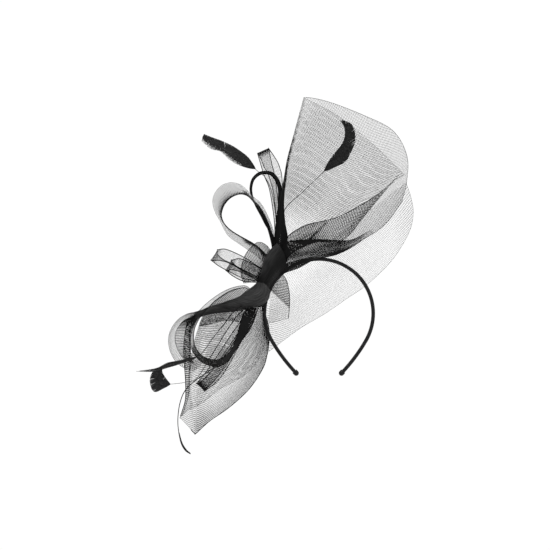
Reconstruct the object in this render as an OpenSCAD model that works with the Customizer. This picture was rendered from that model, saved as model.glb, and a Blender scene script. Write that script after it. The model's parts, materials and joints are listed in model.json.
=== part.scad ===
// Fascinator headpiece: a satin-covered head band with a crinoline, ribbon and feather trim.
// +Z is up, +X is to the wearer-facing right, -Y is the front. Origin: centre of the band's round part.

/* [Band] */
// Inside radius of the band's round part
band_inner_r = 63; // [61:0.5:64]
// Width of the finished band along Y
band_w = 7; // [6:0.5:7.5]
// Thickness of the spring strip
strip_t = 1.9; // [1.5:0.1:2.2]
// Width of the spring strip
strip_w = 4.6; // [4:0.1:5]
// Thickness of the satin cover over the strip
cover_t = 1.3; // [1.1:0.1:1.4]
// Angle below horizontal at which each leg's flexing stretch begins
flex_deg = 15; // [12:1:18]
// Angle below horizontal at which the round part ends
round_end_deg = 30; // [28:1:32]
// Radius of the leg's gentle curve
leg_r = 200; // [180:5:220]
// Sweep of the leg's gentle curve
leg_deg = 13; // [10:0.5:14]
// Clear gap where a leg meets the crown
flex_gap = 0.3; // [0.2:0.05:0.4]

/* [Tips] */
// Radius of the rounded tip at each end of the band
tip_r = 3.3; // [3:0.1:3.5]

/* [Binding] */
// Angle on the band where the bound stems begin
bind_from = 127; // [124:1:130]
// Angle on the band where the bound stems end
bind_to = 174; // [170:1:176]
// Thickness of the felt pad between the band and the stems
pad_t = 1.2; // [1:0.1:1.4]
// Width of the felt pad along Y
pad_w = 9; // [7:0.5:9]
// Radial thickness of the bundle of bound stems
bundle_h = 10.5; // [10:0.5:11]
// Width of the bundle of bound stems along Y
bundle_w = 15; // [14:0.5:16]
// Thickness of one layer of wound thread
thread_t = 0.6; // [0.5:0.1:0.8]

/* [Trim] */
// Thickness of the solid that stands for one layer of crinoline
crin_t = 0.7; // [0.6:0.1:0.9]
// Thickness of the gathered wraps over the knot
wrap_t = 1.6; // [1.4:0.1:2]
// Thickness of the crinoline ribbon in the loops
ribbon_t = 0.6; // [0.5:0.1:0.7]
// Radius of a feather's quill
quill_r = 0.7; // [0.6:0.05:0.8]
// Thickness of a feather's vane
vane_t = 1; // [0.8:0.1:1.2]

/* [Hidden] */
$fn = 96;

band_outer_r = band_inner_r + strip_t + 2 * cover_t;
strip_inner_r = band_inner_r + cover_t;
bundle_r = band_outer_r + pad_t + 0.3;
crown_from = -flex_deg;
crown_to = 180 + flex_deg;
// The clear gap as an angle about the head axis, at the band's inside face
gap_deg = flex_gap / band_inner_r * 180 / PI;
crin = [0.13, 0.13, 0.14];
satin = [0.06, 0.06, 0.07];
feather_black = [0.03, 0.03, 0.03];

// ---- Curves and sheets ----

// Point at t (0 to the last index) on a smooth curve through the points p
function curve(p, t) =
    let (n = len(p) - 1,
        i = min(floor(t), n - 1),
        f = t - i,
        a = i > 0 ? p[i - 1] : 2 * p[0] - p[1],
        b = p[i],
        c = p[i + 1],
        d = i + 2 <= n ? p[i + 2] : 2 * p[n] - p[n - 1])
    0.5 * (2 * b + (c - a) * f + (2 * a - 5 * b + 4 * c - d) * f * f + (3 * b - a - 3 * c + d) * f * f * f);

// Grid of points on the smooth sheet that passes through every rib, nu steps along and nv across
function sheet_grid(ribs, nu, nv) =
    [for (i = [0:nu])
        let (row = [for (r = ribs) curve(r, i / nu * (len(r) - 1))])
        [for (j = [0:nv]) curve(row, j / nv * (len(ribs) - 1))]];

function unit(v) = v / max(norm(v), 1e-6);

function grid_normal(g, i, j) =
    let (nu = len(g) - 1, nv = len(g[0]) - 1)
    unit(cross(g[min(i + 1, nu)][j] - g[max(i - 1, 0)][j], g[i][min(j + 1, nv)] - g[i][max(j - 1, 0)]));

// A closed solid of thickness t on the smooth sheet through the ribs
module sheet(ribs, nu, nv, t) {
    g = sheet_grid(ribs, nu, nv);
    m = nv + 1;
    n = (nu + 1) * m;
    front = [for (i = [0:nu]) for (j = [0:nv]) g[i][j] + grid_normal(g, i, j) * t / 2];
    back = [for (i = [0:nu]) for (j = [0:nv]) g[i][j] - grid_normal(g, i, j) * t / 2];
    cells = [for (i = [0:nu - 1]) for (j = [0:nv - 1]) i * m + j];
    rim = concat(
        [for (j = [0:nv - 1]) [j, j + 1]],
        [for (i = [0:nu - 1]) [i * m + nv, (i + 1) * m + nv]],
        [for (j = [nv:-1:1]) [nu * m + j, nu * m + j - 1]],
        [for (i = [nu:-1:1]) [i * m, (i - 1) * m]]);
    faces = concat(
        [for (c = cells) [c, c + 1, c + m + 1]],
        [for (c = cells) [c, c + m + 1, c + m]],
        [for (c = cells) [n + c, n + c + m + 1, n + c + 1]],
        [for (c = cells) [n + c, n + c + m, n + c + m + 1]],
        [for (e = rim) [e[0], n + e[1], e[1]]],
        [for (e = rim) [e[0], n + e[0], n + e[1]]]);
    polyhedron(points = concat(front, back), faces = faces, convexity = 8);
}

// A tapering round rod along the smooth curve through the points, six-sided
module rod(points, steps, r0, r1) {
    sides = 6;
    path = [for (i = [0:steps]) curve(points, i / steps * (len(points) - 1))];
    rings = [for (i = [0:steps])
        let (t = unit(path[min(i + 1, steps)] - path[max(i - 1, 0)]),
            s = unit(cross(t, [0, 1, 0])),
            b = cross(s, t),
            r = r0 + (r1 - r0) * i / steps)
        for (k = [0:sides - 1]) path[i] + r * (cos(k * 360 / sides) * s + sin(k * 360 / sides) * b)];
    walls = [for (i = [0:steps - 1]) for (k = [0:sides - 1])
        let (a = i * sides + k, b = i * sides + (k + 1) % sides)
        [[a, b, b + sides], [a, b + sides, a + sides]]];
    faces = concat(
        [for (w = walls) w[0]],
        [for (w = walls) w[1]],
        [[for (k = [sides - 1:-1:0]) k]],
        [[for (k = [0:sides - 1]) steps * sides + k]]);
    polyhedron(points = rings, faces = faces, convexity = 4);
}

// ---- Band ----

// Solid of revolution about the head axis (Y) between two angles measured from +X towards +Z
module band_arc(from_deg, to_deg) {
    rotate([90, 0, 0]) rotate([0, 0, from_deg]) rotate_extrude(angle = to_deg - from_deg) children();
}

// Carries a profile along one leg's gentle curve, from the end of the round part outwards
module leg_arc(sweep) {
    rotate([90, 0, 0])
        rotate([0, 0, -round_end_deg])
        translate([band_inner_r - leg_r, 0, 0])
        rotate([0, 0, -sweep])
        rotate_extrude(angle = sweep)
        translate([leg_r - band_inner_r, 0]) children();
}

module strip_profile() {
    translate([strip_inner_r, -strip_w / 2]) square([strip_t, strip_w]);
}

module cover_profile() {
    difference() {
        translate([band_inner_r, -band_w / 2]) square([strip_t + 2 * cover_t, band_w]);
        strip_profile();
    }
}

module crown_of() {
    band_arc(crown_from, crown_to) children();
}

module right_leg_of() {
    band_arc(-round_end_deg, crown_from - gap_deg) children();
    leg_arc(leg_deg) children();
}

module band_strip() {
    color("dimgray") crown_of() strip_profile();
}

module right_leg_strip() {
    color("dimgray") right_leg_of() strip_profile();
}

module left_leg_strip() {
    color("dimgray") mirror([1, 0, 0]) right_leg_of() strip_profile();
}

module band_cover() {
    color(satin) crown_of() cover_profile();
}

module right_leg_cover() {
    color(satin) right_leg_of() cover_profile();
}

module left_leg_cover() {
    color(satin) mirror([1, 0, 0]) right_leg_of() cover_profile();
}

// A rounded cap on the end face of a leg, its axis along the leg
module leg_tip() {
    mid_r = strip_inner_r + strip_t / 2;
    rotate([90, 0, 0])
        rotate([0, 0, -round_end_deg])
        translate([band_inner_r - leg_r, 0, 0])
        rotate([0, 0, -leg_deg])
        translate([leg_r - band_inner_r + mid_r, 0, 0])
        rotate([90, 0, 0])
        rotate_extrude() {
            square([tip_r, 3]);
            intersection() {
                translate([0, 3]) circle(r = tip_r);
                translate([0, 3]) square(tip_r + 1);
            }
        }
}

module right_tip() {
    color(satin) leg_tip();
}

module left_tip() {
    color(satin) mirror([1, 0, 0]) leg_tip();
}

// ---- Binding on the band ----

module felt_pad() {
    color([0.1, 0.1, 0.1])
        band_arc(bind_from - 4, bind_to + 4)
        translate([band_outer_r + 0.05, -pad_w / 2]) square([pad_t, pad_w]);
}

module stem_bundle() {
    round_r = 4;
    color([0.08, 0.08, 0.08])
        band_arc(bind_from, bind_to)
        translate([bundle_r, -bundle_w / 2])
        translate([round_r, round_r])
        offset_square(bundle_h - 2 * round_r, bundle_w - 2 * round_r, round_r);
}

// A rectangle of w by h with a round rim of radius r all round it
module offset_square(w, h, r) {
    translate([-r, 0]) square([w + 2 * r, h]);
    translate([0, -r]) square([w, h + 2 * r]);
    for (x = [0, w]) for (y = [0, h]) translate([x, y]) circle(r = r);
}

// Two wound collars of thread, over the outside of the bundle and down both its sides
module binding_thread() {
    outer = bundle_r + bundle_h + thread_t + 0.1;
    half = bundle_w / 2 + 0.1;
    color([0.02, 0.02, 0.02])
        for (mid = [bind_from + 22, bind_to - 3])
        band_arc(mid - 1.5, mid + 1.5) {
            translate([outer - thread_t, -half - thread_t]) square([thread_t, 2 * (half + thread_t)]);
            for (side = [-1, 1])
                translate([bundle_r, side * (half + thread_t / 2) - thread_t / 2])
                square([outer - bundle_r, thread_t]);
        }
}

// ---- Crinoline ----

module knot_wrap() {
    ribs = [
        [[-65, -9, 13], [-69, -13, 16], [-75, -9, 18]],
        [[-61, -9, 25], [-67, -17, 31], [-75, -9, 37]],
        [[-55, -9, 37], [-62, -19, 46], [-70, -9, 52]],
        [[-48, -9, 46], [-57, -19, 58], [-68, -9, 64]],
        [[-42, -9, 52], [-50, -17, 66], [-62, -9, 76]],
        [[-37, -9, 56], [-42, -14, 70], [-48, -9, 83]]];
    color(crin) sheet(ribs, 6, 8, wrap_t);
}

module arm_wrap() {
    ribs = [
        [[-60, -15, 27], [-62, -24, 33], [-66, -16, 40]],
        [[-62, -16, 18], [-69, -27, 26], [-77, -16, 36]],
        [[-73, -15, 11], [-79, -26, 19], [-86, -15, 28]],
        [[-90, -14, 6], [-93, -22, 13], [-97, -14, 19]],
        [[-110, -13, 2], [-111, -19, 8], [-112, -13, 14]],
        [[-130, -12, 0], [-130, -16, 4], [-130, -12, 8]],
        [[-147, -11, -5], [-148, -14, -2], [-148, -11, 1]]];
    color(crin) sheet(ribs, 6, 12, wrap_t);
}

// The tall cornet: near wall, fold at the left, far wall
module upper_fan() {
    ribs = [
        [[-41, -5, 61], [-8, -15, 102], [45, -22, 128], [100, -26, 165]],
        [[-42, -6, 62], [-15, -20, 122], [28, -30, 160], [68, -34, 198]],
        [[-43, -6, 62], [-28, -20, 130], [-4, -30, 185], [26, -32, 233]],
        [[-45, -5, 62], [-41, -13, 124], [-29, -20, 190], [-5, -16, 252]],
        [[-47, 0, 61], [-48, -2, 124], [-41, -3, 186], [-18, -4, 259]],
        [[-46, 4, 60], [-41, 8, 124], [-24, 12, 190], [10, 10, 255]],
        [[-44, 5, 60], [-20, 16, 124], [16, 22, 182], [58, 20, 238]],
        [[-42, 6, 60], [0, 19, 112], [48, 26, 162], [97, 24, 214]],
        [[-41, 6, 59], [6, 18, 96], [56, 23, 132], [107, 20, 177]],
        [[-40, 5, 58], [0, 10, 73], [50, 13, 91], [101, 12, 138]]];
    color(crin) sheet(ribs, 12, 26, crin_t);
}

// The dark leaf folded over the cornet's near wall
module leaf_fold() {
    ribs = [
        [[-41, -7, 63], [-32, -19, 91], [-10, -27, 107], [35, -33, 121], [86, -38, 156]],
        [[-41, -7, 62], [-27, -22, 82], [-2, -30, 96], [40, -35, 112], [82, -38, 152]],
        [[-40, -7, 61], [-22, -22, 74], [5, -28, 85], [43, -33, 101], [77, -36, 146]]];
    color(crin) sheet(ribs, 14, 4, crin_t);
}

// The gathered fold below it, which crosses in front of the band's crown
module lower_fold() {
    ribs = [
        [[-40, -6, 62], [-34, -16, 85], [-5, -22, 88], [30, -20, 87], [62, -11, 99]],
        [[-39, -6, 59], [-28, -15, 73], [-3, -19, 78], [29, -15, 80], [61, -8, 98]],
        [[-39, -6, 55], [-25, -12, 63.5], [-1, -14, 70.5], [28, -8, 77], [60, -2, 96]],
        [[-42, -6, 51], [-30, -8, 58], [-6, -8, 65.5], [27, -4, 74], [59, 3, 94]]];
    color(crin) sheet(ribs, 14, 6, crin_t);
}

// The lightest sheet, hanging behind the band to a straight lower edge
module veil() {
    ribs = [
        [[-45, 7, 58], [10, 22, 86], [66, 36, 125], [106, 38, 158]],
        [[-48, 7, 55], [10, 22, 74], [72, 38, 105], [115, 40, 124]],
        [[-52, 7, 52], [5, 20, 57], [60, 36, 74], [104, 40, 87]],
        [[-56, 7, 48], [-2, 18, 38], [40, 30, 44], [78, 36, 53]],
        [[-59, 7, 44], [-12, 16, 24], [22, 25, 24], [53, 30, 30]],
        [[-61, 7, 41], [-22, 15, 16], [2, 21, 12], [24, 25, 12]],
        [[-64, 7, 36], [-36, 14, 10], [-20, 17, -2], [-8, 18, -11]],
        [[-68, 7, 28], [-54, 13, 2], [-42, 14, -14], [-34, 14, -27]],
        [[-71, 7, 20], [-66, 12, -4], [-63, 12, -26], [-60, 12, -46]]];
    color(crin) sheet(ribs, 10, 20, crin_t);
}

module inner_flap() {
    ribs = [
        [[-51, 5, 52], [-38, 6.5, 40], [-35, 8, 20], [-37, 8, -5]],
        [[-58, 5, 44], [-47, 7, 32], [-45, 9, 14], [-49, 9, -8]],
        [[-64, 5, 34], [-58, 7, 24], [-59, 8, 6], [-62, 8, -12]]];
    color(crin) sheet(ribs, 8, 4, crin_t);
}

module side_leaf() {
    ribs = [
        [[-53, 1, 60], [-58, 3, 76], [-70, 6, 86], [-80, 8, 80]],
        [[-56, 1, 55], [-64, 3, 65], [-76, 6, 72], [-88, 8, 70]],
        [[-60, 1, 50], [-68, 3, 55], [-80, 6, 58], [-93, 8, 54]],
        [[-63, 1, 45], [-70, 3, 44], [-80, 6, 42], [-91, 8, 38]]];
    color(crin) sheet(ribs, 6, 6, crin_t);
}

// The loop that leaves the arm's end and turns back behind the tail
module left_lobe() {
    ribs = [
        [[-132, -8, 7], [-150, -8, 2], [-170, -4, -8], [-180, 2, -30], [-176, 10, -52], [-160, 20, -67],
            [-140, 24, -66]],
        [[-132, -4, 4], [-148, 0, -1], [-166, 6, -12], [-175, 12, -30], [-171, 20, -48], [-158, 26, -58],
            [-140, 29, -58]],
        [[-132, 0, 1], [-146, 8, -4], [-160, 15, -15], [-167, 22, -29], [-164, 28, -43], [-153, 32, -50],
            [-140, 33, -50]]];
    color(crin) sheet(ribs, 16, 3, crin_t);
}

module lower_ring() {
    ribs = [
        [[-76, 2, 20], [-89, -5, 33], [-113, -17, 27], [-137, -27, 10], [-151, -32, -9], [-155, -34, -30],
            [-146, -34, -51], [-125, -34, -63], [-106, -34, -53], [-90, -34, -30], [-78, -27, -9],
             [-74, -9, 9]],
        [[-75, -3, 17], [-90, -12, 29], [-113, -26, 22], [-134, -37, 5], [-146, -43, -11], [-150, -45, -29],
            [-143, -46, -47], [-125, -46, -54], [-109, -45, -48], [-98, -43, -27], [-91, -34, -2],
             [-80, -11, 12]]];
    color(crin) sheet(ribs, 36, 2, crin_t);
}

// The layer behind the arm that fills the ring's upper part
module ring_hood() {
    ribs = [
        [[-77, 3, 23], [-84, 3, 28], [-101, -4, 30], [-124, -8, 16], [-139, -11, -3]],
        [[-77, 2, 13], [-90, -1, 14], [-108, -6, 12], [-126, -9, 2], [-140, -11, -8]],
        [[-77, 1, 2], [-90, -4, -10], [-106, -8, -9], [-126, -9, -11], [-142, -11, -15]]];
    color(crin) sheet(ribs, 12, 6, crin_t);
}

// The lower cornet: near wall, fold at the left, far wall
module tail_cornet() {
    ribs = [
        [[-71, -5, 12], [-67, -13, -10], [-66, -17, -34], [-76, -18, -62]],
        [[-72, -5, 11], [-88, -18, -24], [-98, -21, -54], [-106, -21, -84]],
        [[-73, -5, 10], [-110, -20, -22], [-126, -22, -60], [-132, -20, -100]],
        [[-74, -5, 10], [-112, -14, 0], [-136, -15, -6], [-149, -15, -42], [-156, -11, -116]],
        [[-75, -1, 9], [-112, -3, 1], [-138, -4, -5], [-152, -3, -42], [-166, -5, -125]],
        [[-74, 4, 9], [-118, 6, -8], [-138, 9, -26], [-150, 11, -78], [-149, 6, -146]],
        [[-73, 5, 9], [-108, 16, -28], [-122, 20, -76], [-128, 13, -129]],
        [[-72, 5, 10], [-86, 16, -28], [-94, 21, -66], [-97, 15, -105]],
        [[-71, 5, 11], [-70, 12, -20], [-71, 16, -46], [-72, 13, -75]],
        [[-70, 4, 12], [-63, 9, -10], [-60, 11, -30], [-61, 10, -48]]];
    color(crin) sheet(ribs, 12, 24, crin_t);
}

// The dense rolled strip that edges the lower cornet on its left
module tail_strip() {
    ribs = [
        [[-146, -10, 0], [-157, -12, -10], [-162, -12, -40], [-160, -12, -84], [-161, -11, -106]],
        [[-142, -10, -4], [-151, -14, -14], [-154, -17, -42], [-154, -17, -78], [-156, -16, -106]]];
    color(crin) sheet(ribs, 16, 2, crin_t);
}

// ---- Ribbon loops ----

module big_loop() {
    ribs = [
        [[-56, -4, 57], [-72, -14, 77], [-94, -19, 94], [-113, -20, 109], [-113, -20, 132], [-94, -20, 143],
            [-77, -19, 131], [-60, -13, 108], [-53, -8, 86], [-51, -4, 62]],
        [[-57, 0, 56], [-80, -2, 73], [-104, -5, 88], [-124, -6, 112], [-125, -6, 144], [-104, -6, 158],
            [-83, -6, 144], [-65, -3, 124], [-56, -1, 100], [-51, 0, 62]]];
    color(crin) sheet(ribs, 32, 2, ribbon_t);
}

module thin_loop() {
    ribs = [
        [[-53, 1.5, 60], [-57, 1.5, 96], [-66, 1.5, 118], [-80, 1.5, 142], [-77, 1.5, 163], [-62, 1.5, 169],
            [-49, 1.5, 158], [-48, 1.5, 130], [-50, 1.5, 96], [-51, 1.5, 61]],
        [[-53, 6, 60], [-56, 7, 96], [-64, 8, 119], [-77, 9, 142], [-75, 9, 160], [-62, 9, 166],
            [-51, 9, 156], [-49, 8, 130], [-50, 7, 96], [-51, 6, 61]]];
    color(crin) sheet(ribs, 30, 2, ribbon_t);
}

// A flat hairpin loop: out along one layer, round the fold and back along the other
module hairpin(edge_a, edge_b, gap, nu) {
    function with_return(e) = concat(
        e,
        [e[len(e) - 1] + 1.2 * unit(e[len(e) - 1] - e[len(e) - 2]) + [0, gap / 2, 0]],
        [for (i = [len(e) - 1:-1:0]) e[i] + [0, gap, 0]]);
    sheet([with_return(edge_a), with_return(edge_b)], nu, 1, ribbon_t);
}

module top_loop() {
    color(crin) hairpin(
        [[-53, 8.5, 70], [-55, 11, 126], [-63, 11, 160], [-73, 11, 191]],
        [[-48, 8.5, 70], [-46, 11, 130], [-49, 11, 172], [-60, 11, 198]], 2.4, 22);
}

module side_loop_outer() {
    color(crin) hairpin(
        [[-64, -5, 48], [-87, -14, 64], [-105, -15, 72], [-122, -15, 76]],
        [[-68, -5, 36], [-90, -14, 38], [-110, -15, 44], [-129, -15, 62]], 2.4, 18);
}

module side_loop_inner() {
    color(crin) hairpin(
        [[-64, -1, 47], [-80, -4, 58], [-93, -7, 64], [-104, -8, 65]],
        [[-68, -1, 37], [-84, -4, 36], [-98, -7, 41], [-111, -8, 53]], 2.4, 18);
}

module lower_loop() {
    color(crin) hairpin(
        [[-74, -6, 12], [-91, -22, -6], [-113, -26, -37], [-145, -27, -81]],
        [[-71, -6, 8], [-81, -20, -14], [-99, -26, -46], [-136, -27, -92]], 2.4, 22);
}

// ---- Feathers ----

module fan_quill() {
    color(feather_black)
        rod([[-44, -2, 62], [-45, -4, 92], [-41, -5, 124], [-20, -6, 145], [6, -6, 170], [26, -6, 196]],
        14, quill_r, 0.4);
}

module fan_feather() {
    ribs = [
        [[8, -8, 171], [24, -8, 177], [40, -8, 194], [45, -8, 212], [30, -8, 232]],
        [[7, -8, 171], [19, -9, 184], [33, -9, 200], [37, -9, 214], [29, -8, 231]],
        [[6, -8, 172], [13, -8, 184], [27, -8, 203], [31, -8, 216], [27, -8, 231]]];
    color(feather_black) sheet(ribs, 10, 2, vane_t);
}

module left_quill() {
    color(feather_black)
        rod([[-47, 6, 60], [-52, 17, 104], [-60, 17, 150], [-71, 17, 169], [-86, 17, 180], [-110, 17, 196]],
        14, quill_r, 0.4);
}

module left_feather() {
    ribs = [
        [[-77, 15, 175], [-94, 15, 193], [-115, 15, 206], [-137, 15, 215]],
        [[-76, 15, 174], [-98, 14, 186], [-118, 14, 200], [-139, 15, 212]],
        [[-77, 15, 173], [-99, 15, 180], [-120, 15, 193], [-140, 15, 207]]];
    color(feather_black) sheet(ribs, 10, 2, vane_t);
}

module curled_quill() {
    color(feather_black)
        rod([[-76, -5, 14], [-93, -22, 2], [-108, -31, -17], [-129, -31, -51], [-146, -30, -77],
         [-161, -28, -82],
        [-177, -28, -84], [-189, -28, -80]], 20, quill_r, 0.4);
}

module curled_feather() {
    ribs = [
        [[-178, -25.5, -85], [-194, -25.5, -95], [-202, -25.5, -84], [-198, -25.5, -70],
         [-184, -25.5, -61]],
        [[-178, -25.5, -84], [-190, -24.5, -87], [-195, -24.5, -80], [-192, -24.5, -70],
         [-182, -25.5, -62]],
        [[-178, -25.5, -83], [-183, -25.5, -80], [-188, -25.5, -75], [-186, -25.5, -68],
         [-181, -25.5, -63]]];
    color(feather_black) sheet(ribs, 10, 2, vane_t);
}

module slender_quill() {
    color(feather_black)
        rod([[-77, -4, 17], [-102, -28, 2], [-125, -31, -27], [-141, -31, -48], [-160, -31.5, -57],
        [-185, -31.5, -63]], 18, quill_r, 0.4);
}

module slender_feather() {
    ribs = [
        [[-150, -33.5, -52], [-168, -33.5, -55], [-184, -33.5, -60], [-198, -33.5, -66],
         [-218, -33.5, -68]],
        [[-150, -33.5, -55], [-168, -33.5, -61], [-184, -33.5, -65], [-198, -33.5, -69],
         [-218, -33.5, -69]]];
    color(feather_black) sheet(ribs, 12, 1, vane_t);
}

module bare_quill() {
    color(feather_black)
        rod([[-75, -6, 13], [-86, -25, -6], [-116, -30.5, -55], [-148, -29, -80], [-160, -27, -92],
        [-167, -26, -114], [-168, -26, -136], [-165, -26, -152], [-158, -26, -162]], 22, quill_r, 0.4);
}

module bare_quill_tip() {
    ribs = [
        [[-163, -28, -154], [-159, -28, -160], [-152, -28, -166]],
        [[-165, -28, -157], [-161, -28, -163], [-154, -28, -167]]];
    color(feather_black) sheet(ribs, 4, 1, vane_t);
}

band_strip();
left_leg_strip();
right_leg_strip();
band_cover();
left_leg_cover();
right_leg_cover();
left_tip();
right_tip();
felt_pad();
stem_bundle();
binding_thread();
knot_wrap();
arm_wrap();
upper_fan();
leaf_fold();
lower_fold();
veil();
inner_flap();
side_leaf();
left_lobe();
lower_ring();
ring_hood();
tail_cornet();
tail_strip();
big_loop();
thin_loop();
top_loop();
side_loop_outer();
side_loop_inner();
lower_loop();
fan_quill();
fan_feather();
left_quill();
left_feather();
curled_quill();
curled_feather();
slender_quill();
slender_feather();
bare_quill();
bare_quill_tip();
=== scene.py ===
import json
import math

import bpy
import numpy as np
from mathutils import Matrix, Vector

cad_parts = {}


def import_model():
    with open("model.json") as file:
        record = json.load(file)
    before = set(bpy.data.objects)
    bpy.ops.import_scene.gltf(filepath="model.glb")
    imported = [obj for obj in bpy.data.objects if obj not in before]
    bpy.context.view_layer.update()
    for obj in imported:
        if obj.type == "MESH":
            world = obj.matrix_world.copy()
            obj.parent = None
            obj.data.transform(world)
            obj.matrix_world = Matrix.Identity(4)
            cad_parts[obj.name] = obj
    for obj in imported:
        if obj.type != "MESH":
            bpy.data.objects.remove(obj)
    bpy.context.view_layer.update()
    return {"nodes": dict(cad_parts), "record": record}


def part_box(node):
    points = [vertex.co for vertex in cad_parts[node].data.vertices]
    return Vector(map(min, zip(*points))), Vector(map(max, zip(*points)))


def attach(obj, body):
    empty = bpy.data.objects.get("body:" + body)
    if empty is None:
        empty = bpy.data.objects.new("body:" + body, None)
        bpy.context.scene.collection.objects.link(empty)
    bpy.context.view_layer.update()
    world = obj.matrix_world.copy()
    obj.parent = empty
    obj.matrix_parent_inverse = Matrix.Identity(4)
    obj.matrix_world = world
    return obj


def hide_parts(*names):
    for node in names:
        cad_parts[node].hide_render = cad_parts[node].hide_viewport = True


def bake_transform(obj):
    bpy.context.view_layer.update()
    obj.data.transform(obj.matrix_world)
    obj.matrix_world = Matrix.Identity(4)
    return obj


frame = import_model()
scene = bpy.context.scene

# Lengths in the tables below are millimetres in the shared frame: X across the head, Y to the back, Z up.
MM = 0.001
BODY = "headpiece"
RNG = np.random.default_rng(20)
CLOTH_UV = "cloth"
SQUEEZE_LEAST, SQUEEZE_MOST = 0.03, 3
HEAD_R = frame["record"]["mounts"][0]["dims"]["r_mm"]
BAND_R_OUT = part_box("band_cover")[1].z / MM
BAND_W = (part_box("band_cover")[1].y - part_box("band_cover")[0].y) / MM


# ---- Curves and surfaces ----

def size(x):
    """Length of each vector in an array."""
    return np.linalg.norm(x, axis=-1)


def unit(x):
    return x / np.maximum(size(x)[..., None], 1e-9)


def arc(steps):
    """Running length of a row of steps, starting at 0."""
    return np.concatenate([[0], np.cumsum(steps)])


def curve(points, t):
    """Points at parameters t (0 to the last index) on the smooth curve through points."""
    p = np.asarray(points, float)
    last = len(p) - 1
    t = np.clip(np.asarray(t, float), 0, last)
    i = np.minimum(t.astype(int), last - 1)
    f = (t - i)[:, None]
    q = np.vstack([2 * p[0] - p[1], p, 2 * p[-1] - p[-2]])
    a, b, c, d = q[i], q[i + 1], q[i + 2], q[i + 3]
    return 0.5 * (2 * b + (c - a) * f + (2 * a - 5 * b + 4 * c - d) * f ** 2 + (3 * b - a - 3 * c + d) * f ** 3)


def along(points, n):
    """n + 1 points evenly spaced along the smooth curve through points."""
    fine = curve(points, np.linspace(0, len(points) - 1, 40 * len(points)))
    s = arc(size(np.diff(fine, axis=0)))
    want = np.linspace(0, s[-1], n + 1)
    return np.stack([np.interp(want, s, fine[:, k]) for k in range(3)], axis=1)


def surface(ribs, nu, nv):
    """Grid of points [u, v] on the smooth sheet through every rib: u runs along the ribs, v across them."""
    rows = np.array([along(r, nu) for r in ribs])
    flat = curve(rows.reshape(len(ribs), -1), np.linspace(0, len(ribs) - 1, nv + 1))
    return flat.reshape(nv + 1, nu + 1, 3).transpose(1, 0, 2)


def normals(grid):
    return unit(np.cross(np.gradient(grid, axis=0), np.gradient(grid, axis=1)))


def lattice(nu, nv):
    """u and v at each point of a grid, both from 0 to 1."""
    return np.meshgrid(np.linspace(0, 1, nu + 1), np.linspace(0, 1, nv + 1), indexing="ij")


def cloth_uv(grid):
    """The weave's place at each grid point in mm, the flat cloth's width and length, and the weave's pitch at
    each point as a share of the flat cloth's, less than 1 where it is drawn together."""
    du, dv = size(np.diff(grid, axis=0)), size(np.diff(grid, axis=1))
    widest = int(np.argmax(dv.sum(axis=1)))
    across = arc(dv[widest])
    down = arc(du.mean(axis=1))
    su = size(np.gradient(grid, axis=0)) / np.gradient(down)[:, None]
    sv = size(np.gradient(grid, axis=1)) / np.maximum(np.gradient(across)[None, :], 1e-6)
    su, sv = (np.clip(x, SQUEEZE_LEAST, SQUEEZE_MOST) for x in (su, sv))
    squeeze = math.sqrt(2) / np.sqrt(1 / su ** 2 + 1 / sv ** 2)
    along_u = np.concatenate([np.zeros((1, grid.shape[1])), np.cumsum(du, axis=0)])
    along_v = np.concatenate([np.zeros((grid.shape[0], 1)), np.cumsum(dv, axis=1)], axis=1)
    along_v -= along_v[:, along_v.shape[1] // 2, None]
    return np.stack([along_v, along_u], axis=2), (across[-1], down[-1]), squeeze


# ---- Mesh pieces ----

def make(name, points, faces, material):
    """A smooth-shaded mesh piece from points in mm."""
    mesh = bpy.data.meshes.new(name)
    mesh.from_pydata((np.asarray(points) * MM).tolist(), [], faces)
    mesh.polygons.foreach_set("use_smooth", [True] * len(mesh.polygons))
    mesh.materials.append(material)
    obj = bpy.data.objects.new(name, mesh)
    scene.collection.objects.link(obj)
    return obj


def seat(obj, node):
    """A piece rides on the headpiece and replaces a CAD node."""
    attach(obj, BODY)
    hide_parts(node)


def grid_faces(nu, nv, closed=False):
    """Faces over a grid's points; closed joins the last column to the first."""
    m = nv if closed else nv + 1
    return [(i * m + j, i * m + (j + 1) % m, (i + 1) * m + (j + 1) % m, (i + 1) * m + j)
            for i in range(nu) for j in range(nv)]


def set_uv(obj, uv):
    data = obj.data.uv_layers.new(name=CLOTH_UV).data
    loops = np.empty(len(obj.data.loops), int)
    obj.data.loops.foreach_get("vertex_index", loops)
    data.foreach_set("uv", np.asarray(uv).reshape(-1, 2)[loops].ravel().astype(np.float32))


def set_value(obj, name, values):
    layer = obj.data.attributes.new(name, "FLOAT", "POINT")
    layer.data.foreach_set("value", np.asarray(values, np.float32).ravel())


def tube_rings(path, radius, sides):
    """Rings of points round a path; radius is a number or one for each path point."""
    t = unit(np.gradient(path, axis=0))
    odd_axis = [0.13, 0.97, 0.21]
    side = unit(np.cross(t, odd_axis))
    up = np.cross(side, t)
    a = np.arange(sides) * 2 * math.pi / sides
    r = np.broadcast_to(np.asarray(radius, float), (len(path),))[:, None, None]
    c, s = np.cos(a)[None, :, None], np.sin(a)[None, :, None]
    return path[:, None, :] + r * (c * side[:, None, :] + s * up[:, None, :])


def tubes(name, paths, radius, material, sides=6):
    """One piece made of round rods, one along each path. radius is one for all, or a list with each path's."""
    points, faces = [], []
    for k, path in enumerate(paths):
        rings = tube_rings(path, radius[k] if isinstance(radius, list) else radius, sides)
        base = len(points)
        points.extend(rings.reshape(-1, 3))
        n = len(path) - 1
        faces.extend(tuple(base + i for i in f) for f in grid_faces(n, sides, closed=True))
        faces.append(tuple(base + i for i in range(sides))[::-1])
        faces.append(tuple(base + n * sides + i for i in range(sides)))
    return make(name, points, faces, material)


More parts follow.
